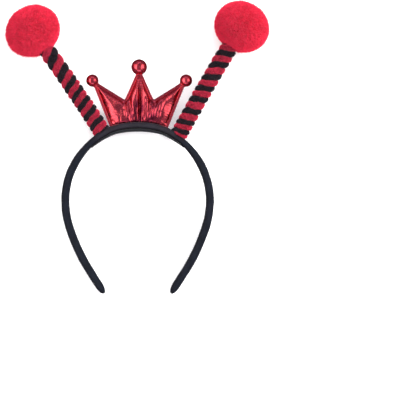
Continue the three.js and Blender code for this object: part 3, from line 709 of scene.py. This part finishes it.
class Antenna:
    """An antenna's own frame: Y from the foot to the pompom, X across, Z out of the front."""

    def __init__(self, foot, lean, length, bow, turns, seed):
        point, outward, thickness, _ = hoop_at(hoop_share(foot))
        self.origin = point + outward * thickness / 2
        self.lean = math.radians(lean)
        self.length, self.bow = length * ANTENNA_LENGTH, bow * ANTENNA_LENGTH
        self.turns = np.array(turns, float)
        self.seed = seed

    def to_plane(self, points):
        x, y, z = np.moveaxis(np.asarray(points, float), -1, 0)
        cos, sin = math.cos(self.lean), math.sin(self.lean)
        return np.stack([self.origin[0] + x * cos - y * sin, self.origin[1] + x * sin + y * cos, z], -1)

    def beside(self, height, radius, angle):
        """Point beside the axis: height along it, radius from it and angle from the front."""
        share = height / self.length
        held = np.clip(share, 0, 1)
        across = unit(np.stack([np.ones_like(held), -4 * self.bow * (1 - 2 * held) / self.length], -1))
        side = radius * np.sin(angle)
        x = 4 * self.bow * share * (1 - share) + side * across[..., 0]
        found = np.stack([x, height + side * across[..., 1], radius * np.cos(angle)], -1)
        # The turns waver together, so they stay clear of each other
        found[..., 1] += WAVER * ripple(found, self.seed, WAVER_PITCH)
        return found

    def winding_height(self, winding, angle):
        """Height of the middle of a strand that starts at 0 with the first black turn, at an angle."""
        at, slope = self.turns.T
        row = np.clip(np.floor(winding), 0, len(at) - 2).astype(int)
        share = winding - row
        place = at[row] + (at[row + 1] - at[row]) * share
        tilt = slope[row] + (slope[row + 1] - slope[row]) * np.clip(share, 0, 1)
        radius = (WRAP_DIAMETER + ROD_DIAMETER) / 4
        return place * self.length + radius * np.sin(angle) * np.tan(np.radians(tilt))


def add_pile(skin, skin_tris, roots, tips, lengths, width, curl, root_shade, random):
    """Points, triangles and shades of a skin with thin tapering fibres of three triangles each. Their painted
    shade darkens the roots and the skin deep in the pile, rising to nearly 1 at the tip, with a tone for each
    fibre."""
    directions = unit(tips - roots)
    count = len(roots)
    side = unit(np.cross(directions, random.normal(size=(count, 3)))) * width / 2
    lengths = lengths[:, None]
    droop = random.normal(size=(count, 3)) * curl * lengths
    middle = roots + directions * lengths * 0.5 + droop * 0.25
    tip = roots + directions * lengths + droop
    waist = side * FIBRE_WAIST
    points = np.stack([roots - side, roots + side, middle - waist, middle + waist, tip], 1)
    first = np.arange(count)[:, None] * 5
    tris = np.concatenate([first + (0, 1, 3), first + (0, 3, 2), first + (2, 3, 4)])
    tone = random.uniform(-FIBRE_TONE, FIBRE_TONE, count)[:, None]
    middle_shade = (root_shade + TIP_SHADE) / 2
    shade = np.array([root_shade, root_shade, middle_shade, middle_shade, TIP_SHADE])
    shades = np.concatenate([np.full(len(skin), root_shade), np.clip(shade + tone, 0, 1).ravel()])
    tris = np.concatenate([skin_tris, tris + len(skin)])
    return np.concatenate([skin, points.reshape(-1, 3)]), tris, shades


def band_clear(points, margin):
    """Points of the plane pushed out of the band's outer half, and whether each was in it."""
    line, outward, thickness, width = hoop_at(np.linspace(0.25, 0.75, 400))
    nearest = np.concatenate([
        np.argmin(((part[:, None, :2] - line[None]) ** 2).sum(-1), 1) for part in np.array_split(points, 40)
    ])
    radial = ((points[:, :2] - line[nearest]) * outward[nearest]).sum(-1)
    deep, wide = thickness[nearest] / 2 + margin, width[nearest] / 2 + margin
    front = (np.abs(points[:, 2]) / wide) ** BAND_SQUARENESS
    surface = deep * np.clip(1 - front, 0, None) ** (1 / BAND_SQUARENESS)
    within = np.abs(radial) < surface
    moved = points.copy()
    moved[:, :2] += outward[nearest] * np.where(within, surface - radial, 0)[:, None]
    return moved, within


def strand_surface(antenna, winding, section, half_turns, lift=0.0):
    """Point of a strand's skin: where along its winding, and the angle round its section, 0 outward."""
    angle = (winding - half_turns / 2) * 2 * math.pi
    inner, outer = ROD_DIAMETER / 2 + NODE_CLEARANCE, WRAP_DIAMETER / 2 - WRAP_PILE
    middle = antenna.winding_height(winding, angle)
    below = (middle - antenna.winding_height(winding - 0.5, angle)) / 2
    above = (antenna.winding_height(winding + 0.5, angle) - middle) / 2
    reach = np.where(np.sin(section) > 0, above, below) - NODE_CLEARANCE / 2
    radial, along = (
        np.sign(part) * np.abs(part) ** (2 / STRAND_SQUARENESS) for part in (np.cos(section), np.sin(section))
    )
    (deep, slow), (shallow, fast) = LUMPS
    lump = 1 + deep * np.sin(winding * 2 * math.pi * slow + half_turns * 2)
    lump = lump + shallow * np.sin(winding * 2 * math.pi * fast)
    radius = (inner + outer) / 2 + radial * ((outer - inner) / 2 * lump + lift)
    breadth = (reach - STRAND_GAP) * (1 - BREADTH_LUMP + BREADTH_LUMP * lump) + lift
    return antenna.beside(middle + along * breadth, radius, angle)


def strand_skin(antenna, half_turns, wrap_end):
    """Points and triangles of a strand's skin, and where its winding starts and stops."""
    steps = np.arange(FIRST_TURN * STRAND_STEPS, LAST_TURN * STRAND_STEPS) / STRAND_STEPS
    centre = antenna.winding_height(steps, (steps - half_turns / 2) * 2 * math.pi)
    steps = steps[(centre > -FOOT_SINK - STRAND_START) & (centre < wrap_end - STRAND_END)]
    sections = np.arange(STRAND_SIDES) / STRAND_SIDES * 2 * math.pi
    rows = strand_surface(antenna, steps[:, None], sections[None], half_turns)
    rows[..., 1] = np.maximum(rows[..., 1], -FOOT_SINK)
    points = band_clear(antenna.to_plane(rows).reshape(-1, 3), NODE_CLEARANCE)[0]
    first = np.array([[0, i, i + 1] for i in range(1, STRAND_SIDES - 1)])
    last = first[:, ::-1] + (len(rows) - 1) * STRAND_SIDES
    tris = np.concatenate([ring_faces(len(rows), STRAND_SIDES, True), first, last])
    return points, tris, (steps[0], steps[-1])


def make_strand(name, antenna, half_turns, seed):
    """A strand's skin with its pile. half_turns is 0 for the black strand and 1 for the red one."""
    random = np.random.default_rng(seed)
    wrap_end = antenna.length - POMPOM_SIZE[1] / 2 + WRAP_SEAT
    points, tris, reach = strand_skin(antenna, half_turns, wrap_end)

    winding = random.uniform(*reach, STRAND_FIBRES)
    outer = random.triangular(-PILE_ROUND, 0, PILE_ROUND, STRAND_FIBRES)
    section = (outer + random.uniform(-PILE_ROUND, PILE_ROUND, STRAND_FIBRES)) / 2
    roots = strand_surface(antenna, winding, section, half_turns)
    outward = unit(strand_surface(antenna, winding, section, half_turns, 0.4) - roots)
    outward = unit(outward + random.normal(size=outward.shape) * STRAND_SCATTER)
    lengths = WRAP_PILE * random.uniform(*WRAP_PILE_SPREAD, STRAND_FIBRES)
    lengths = lengths * (1 - SIDE_SHORTER * np.sin(section) ** 2)
    tips = roots + outward * lengths[:, None]
    keep = (np.minimum(roots[:, 1], tips[:, 1]) > -FOOT_SINK) & (roots[:, 1] < wrap_end - PILE_END)
    plane = antenna.to_plane(np.stack([roots, tips], 1)[keep])
    clear = ~(band_clear(plane[:, 0], 0)[1] | band_clear(plane[:, 1], 0)[1])
    roots, tips, lengths = plane[clear, 0], plane[clear, 1], lengths[keep][clear]
    points, tris, shade = add_pile(
        points, tris, roots, tips, lengths, STRAND_FIBRE_WIDTH, STRAND_CURL, WRAP_ROOT_SHADE, random
    )
    return mesh_object(name, points, tris, shade=shade)


def golden_directions(count):
    """Directions spread evenly over a sphere."""
    index = np.arange(count)
    rise = 1 - (2 * index + 1) / count
    turn = index * math.pi * (3 - math.sqrt(5))
    ring = np.sqrt(1 - rise**2)
    return np.stack([ring * np.cos(turn), ring * np.sin(turn), rise], -1)


def make_pompom(name, antenna, seed):
    """Plush over a stuffed ball, flattened a little along the stem."""
    random = np.random.default_rng(seed)
    centre = antenna.to_plane(np.array([0, antenna.length + POMPOM_LIFT, 0.0]))
    cos, sin = math.cos(antenna.lean), math.sin(antenna.lean)
    # Rows: across the stem, along it away from the band, and out of the front
    own = np.array([[cos, sin, 0], [-sin, cos, 0], [0, 0, 1]])
    half = POMPOM_SIZE / 2
    seat_angle = math.asin((WRAP_DIAMETER / 2 + SEAT_CLEARANCE) / half[0])

    def reach(directions):
        """Distance of the plush's surface from the centre, in directions of the pompom's own axes."""
        far = 1 / np.linalg.norm(directions / half, axis=-1)
        for index, (depth, pitch) in enumerate(POMPOM_LUMPS):
            far = far + depth * ripple(directions * half, seed + index, pitch)
        return far

    fall = np.linspace(0, math.pi, POMPOM_RINGS)
    turn = np.arange(POMPOM_SIDES) / POMPOM_SIDES * 2 * math.pi
    fall, turn = np.meshgrid(fall, turn, indexing="ij")
    directions = np.stack([np.sin(fall) * np.sin(turn), np.cos(fall), np.sin(fall) * np.cos(turn)], -1)
    radius = reach(directions) - POMPOM_PILE
    # The ball is flat where the wrap's end sits in it
    from_stem = math.pi - fall
    seat = POMPOM_SIZE[1] / 2 - WRAP_SEAT + POMPOM_LIFT + SEAT_CLEARANCE
    seat = seat / np.cos(np.minimum(from_stem, 1.2))
    radius = np.where(from_stem < seat_angle, np.minimum(radius, seat), radius)
    ball = (directions * radius[..., None]).reshape(-1, 3)
    tris = ring_faces(POMPOM_RINGS, POMPOM_SIDES)

    around = unit(random.normal(size=(POMPOM_FIBRES, 3)))
    around = around[np.arccos(np.clip(-around[:, 1], -1, 1)) > seat_angle]
    tufts = golden_directions(TUFTS)
    nearest = np.concatenate([np.argmax(part @ tufts.T, 1) for part in np.array_split(around, 60)])
    lengths = POMPOM_PILE * random.uniform(*POMPOM_PILE_SPREAD, len(around))
    roots = around * (reach(around) - POMPOM_PILE)[:, None]
    gathered = tufts[nearest] * reach(tufts[nearest])[:, None]
    tips = around * reach(around)[:, None]
    tips = tips + (gathered - tips) * TUFT_LEAN + random.normal(size=tips.shape) * POMPOM_SCATTER
    points, tris, shade = add_pile(
        ball, tris, roots, tips, lengths, POMPOM_FIBRE_WIDTH, POMPOM_CURL, PLUSH_ROOT_SHADE, random
    )
    return mesh_object(name, points @ own + centre, tris, shade=shade)


# Materials
class Shader:
    """A material with a Principled shader and helpers that add nodes to it."""

    def __init__(self, name, **values):
        self.material = bpy.data.materials.new(name)
        self.material.use_nodes = True
        self.tree = self.material.node_tree
        self.surface = next(n for n in self.tree.nodes if n.type == "BSDF_PRINCIPLED")
        for key, value in values.items():
            socket = key.replace("_", " ").title().replace("Ior", "IOR")
            self.surface.inputs[socket].default_value = value

    def node(self, kind, inputs=None, **settings):
        """A shader node with its inputs linked or set, and its own settings."""
        made = self.tree.nodes.new("ShaderNode" + kind)
        for key, value in settings.items():
            setattr(made, key, value)
        for key, value in (inputs or {}).items():
            if isinstance(value, bpy.types.NodeSocket):
                self.tree.links.new(value, made.inputs[key])
            else:
                made.inputs[key].default_value = value
        return made

    def link(self, socket, name):
        self.tree.links.new(socket, self.surface.inputs[name])

    def place(self, which):
        return self.node("TexCoord").outputs[which]

    def noise(self, scale, detail, roughness=0.5):
        values = {"Vector": self.place("Object"), "Scale": scale, "Detail": detail, "Roughness": roughness}
        return self.node("TexNoise", values).outputs["Fac"]

    def ramp(self, fac, stops):
        """Colour between two stops of a place and a colour each."""
        made = self.node("ValToRGB", {"Fac": fac})
        for element, (position, colour) in zip(made.color_ramp.elements, stops):
            element.position, element.color = position, (*colour, 1)
        return made.outputs["Color"]

    def math(self, operation, a, b):
        return self.node("Math", {0: a, 1: b}, operation=operation).outputs[0]

    def around_zero(self, noise, depth):
        return self.math("MULTIPLY", self.math("SUBTRACT", noise, 0.5), depth)

    def threads(self, run, spacing):
        return self.math("SINE", self.math("MULTIPLY", run, 2 * math.pi / spacing), 0)

    def shade(self):
        """The shade that the mesh gives each of its points."""
        return self.node("Attribute", attribute_name="shade").outputs["Fac"]

    def bump(self, height, strength, distance, normal=None):
        values = {"Height": height, "Strength": strength, "Distance": distance}
        if normal is not None:
            values["Normal"] = normal
        return self.node("Bump", values).outputs["Normal"]


# Spacing of the cloth's threads along and across the band
THREADS_ALONG, THREADS_ACROSS = 0.55, 0.42


def cloth_material():
    """Woven cloth: its threads run along and across the band, in millimetres of its uv. Its colour has a
    painted sheen, a little lighter, where the mesh's shade is 1."""
    s = Shader("band_cloth", roughness=0.5, sheen_weight=0.03, sheen_roughness=0.4, specular_ior_level=0.15)
    uv = s.node("SeparateXYZ", {0: s.place("UV")})
    along, across = s.threads(uv.outputs[0], THREADS_ALONG), s.threads(uv.outputs[1], THREADS_ACROSS)
    weave = s.math("MULTIPLY", along, across)
    tone = s.math("ADD", s.math("MULTIPLY", weave, 0.12), s.noise(160.0, 3.0))
    soft = s.ramp(tone, [(0.25, (0.0030, 0.0038, 0.0065)), (0.8, (0.0070, 0.0092, 0.0160))])
    # Painted sheen: a lighter, more neutral colour that the top of the band is given
    painted_sheen_colour = s.ramp(tone, [(0.25, (0.0110, 0.0095, 0.0125)), (0.8, (0.0190, 0.0170, 0.0240))])
    mixed = s.node("MixRGB", {"Fac": s.shade(), "Color1": soft, "Color2": painted_sheen_colour})
    s.link(mixed.outputs["Color"], "Base Color")
    fuzz = s.bump(s.noise(900.0, 4.0), 0.25, 0.0002)
    s.link(s.bump(weave, 0.35, 0.00012, fuzz), "Normal")
    return s.material


def foil_material():
    """Red metallic foil: fine crinkles over the modelled folds, darker in colour, a painted shade, where its
    shade is low.
    """
    s = Shader("crown_foil", metallic=1.0, specular_tint=(0.42, 0.12, 0.16, 1))
    crinkle = s.noise(330.0, 3.0)
    fine = s.noise(1500.0, 2.0)
    tone = s.math("ADD", s.shade(), s.around_zero(crinkle, 0.3))
    # Painted shade: the first stop is the foil's colour where the shade is darkest
    s.link(s.ramp(tone, [(0.0, (0.17, 0.015, 0.042)), (1.0, (0.76, 0.084, 0.112))]), "Base Color")
    rough = s.node("MapRange", {"Value": fine, "To Min": 0.20, "To Max": 0.32})
    s.link(rough.outputs[0], "Roughness")
    s.link(s.bump(fine, 0.06, 0.0002, s.bump(crinkle, 0.12, 0.0006)), "Normal")
    return s.material


def pile_material(name, root, tip, sheen, mottle):
    """Pile fibres: darker at the root, a painted shade, lighter at the tip, with patches of tone over the
    piece.
    """
    s = Shader(name, roughness=0.9, sheen_weight=sheen, sheen_roughness=0.5, specular_ior_level=0.12)
    tone = s.math("ADD", s.shade(), s.around_zero(s.noise(mottle, 3.0), 0.7))
    s.link(s.ramp(tone, [(0.0, root), (0.9, tip)]), "Base Color")
    return s.material


def grain_material(name, noise, stops, bump=None, **values):
    """A plain surface with a grain, from the noise's scale, detail and roughness, two tones, and the
    strength and distance of its bump."""
    s = Shader(name, **values)
    grain = s.noise(*noise)
    s.link(s.ramp(grain, stops), "Base Color")
    if bump:
        s.link(s.bump(grain, *bump), "Normal")
    return s.material


felt = grain_material(
    "pad_felt", (700.0, 5.0, 0.65), [(0.3, (0.004, 0.004, 0.006)), (0.75, (0.010, 0.011, 0.016))],
    bump=(0.6, 0.0003), roughness=0.95, sheen_weight=0.08, sheen_roughness=0.6, specular_ior_level=0.1,
)
plastic = grain_material(
    "rod_plastic", (500.0, 2.0), [(0.3, (0.022, 0.022, 0.025)), (0.7, (0.04, 0.04, 0.045))],
    bump=(0.1, 0.0002), roughness=0.55,
)
paper = grain_material(
    "floor_paper", (30.0, 3.0), [(0.3, (0.92, 0.92, 0.92)), (0.7, (0.94, 0.94, 0.94))],
    roughness=0.9, emission_color=(1, 1, 1, 1), emission_strength=0.22,
)
red_pile = pile_material("chenille_red", (0.20, 0.011, 0.028), (0.81, 0.044, 0.102), 0.05, 420.0)
black_pile = pile_material("chenille_black", (0.006, 0.004, 0.006), (0.036, 0.028, 0.038), 0.05, 260.0)
plush_pile = pile_material("pompom_plush", (0.39, 0.009, 0.030), (0.85, 0.038, 0.093), 0.06, 300.0)


# Pieces
def finish_piece(piece, material, node):
    piece.data.materials.append(material)
    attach(piece, "root")
    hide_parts(node)


finish_piece(make_band(), cloth_material(), "band")
finish_piece(make_pad(), felt, "head_pad")
finish_piece(make_crown(), foil_material(), "crown")
for number, (side, numbers) in enumerate(ANTENNAS.items()):
    antenna = Antenna(**numbers, seed=90 + number)
    for half_turns, colour, material in ((0, "black", black_pile), (1, "red", red_pile)):
        node = f"antenna_{side}_{colour}_strand"
        strand = make_strand(f"{side}_{colour}_chenille", antenna, half_turns, 100 + 10 * number + half_turns)
        finish_piece(strand, material, node)
    pompom = make_pompom(f"{side}_pompom_plush", antenna, 200 + 10 * number)
    finish_piece(pompom, plush_pile, f"pompom_{side}")
    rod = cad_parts[f"antenna_{side}_rod"]
    rod.data.materials.clear()
    rod.data.materials.append(plastic)

# Camera: it looks square to the hoop's plane, as in the photograph, from VIEW_DISTANCE metres at a field
# that is VIEW_HEIGHT metres high
VIEW_POINT = to_world(np.array([53.0, -3.75, 0.0]))
VIEW_DISTANCE, VIEW_HEIGHT = 1.5, 0.3485
plane_normal = Vector((0, -SLOPE_SIN, SLOPE_COS))
camera_data = bpy.data.cameras.new("camera")
camera_data.lens = camera_data.sensor_width * VIEW_DISTANCE / VIEW_HEIGHT
camera = bpy.data.objects.new("camera", camera_data)
camera.location = Vector(VIEW_POINT) + plane_normal * VIEW_DISTANCE
camera.rotation_euler = (SLOPE, 0, 0)
bpy.context.scene.collection.objects.link(camera)
bpy.context.scene.camera = camera

# Floor
bpy.ops.mesh.primitive_plane_add(size=8)
floor = bpy.context.object
floor.name = "floor"
floor.data.materials.append(paper)
floor.visible_glossy = False

# Lights
WARM, COOL, WHITE = (1.0, 0.94, 0.84), (0.84, 0.82, 1.0), (1, 1, 1)


def softbox(name, place, size, power, colour, shown=True):
    """A rectangular light that looks at the origin. shown is False where reflections don't show it."""
    data = bpy.data.lights.new(name, "AREA")
    data.shape, data.size, data.size_y, data.energy, data.color = "RECTANGLE", *size, power, colour
    light = bpy.data.objects.new(name, data)
    light.location = place
    light.rotation_euler = (-Vector(place)).to_track_quat("-Z", "Y").to_euler()
    light.visible_glossy = shown
    bpy.context.scene.collection.objects.link(light)


softbox("softbox_left", (-1.0, 0.0, 1.0), (1.6, 0.85), 11.5, WARM)
softbox("softbox_right", (1.08, 0.1, 0.92), (1.4, 0.85), 8.5, WARM)
softbox("softbox_near", (0, -1.3, 0.8), (1.6, 0.6), 5, COOL)
softbox("softbox_far", (0, 1.3, 0.9), (1.6, 0.6), 2.4, COOL)
softbox("overhead", (0, 0, 2.4), (0.8, 1.2), 0.7, COOL)
softbox("fill", (0.5, -0.1, 2.3), (2.4, 2.4), 57, WHITE, shown=False)
softbox("key", (1.7, 1.1, 1.4), (1.2, 1.2), 76, WHITE, shown=False)

world = bpy.data.worlds.new("studio")
bpy.context.scene.world = world
world.use_nodes = True
background = world.node_tree.nodes["Background"]
background.inputs["Color"].default_value = (0.78, 0.80, 1.0, 1)
background.inputs["Strength"].default_value = 0.27
bpy.context.scene.view_settings.view_transform = "Standard"
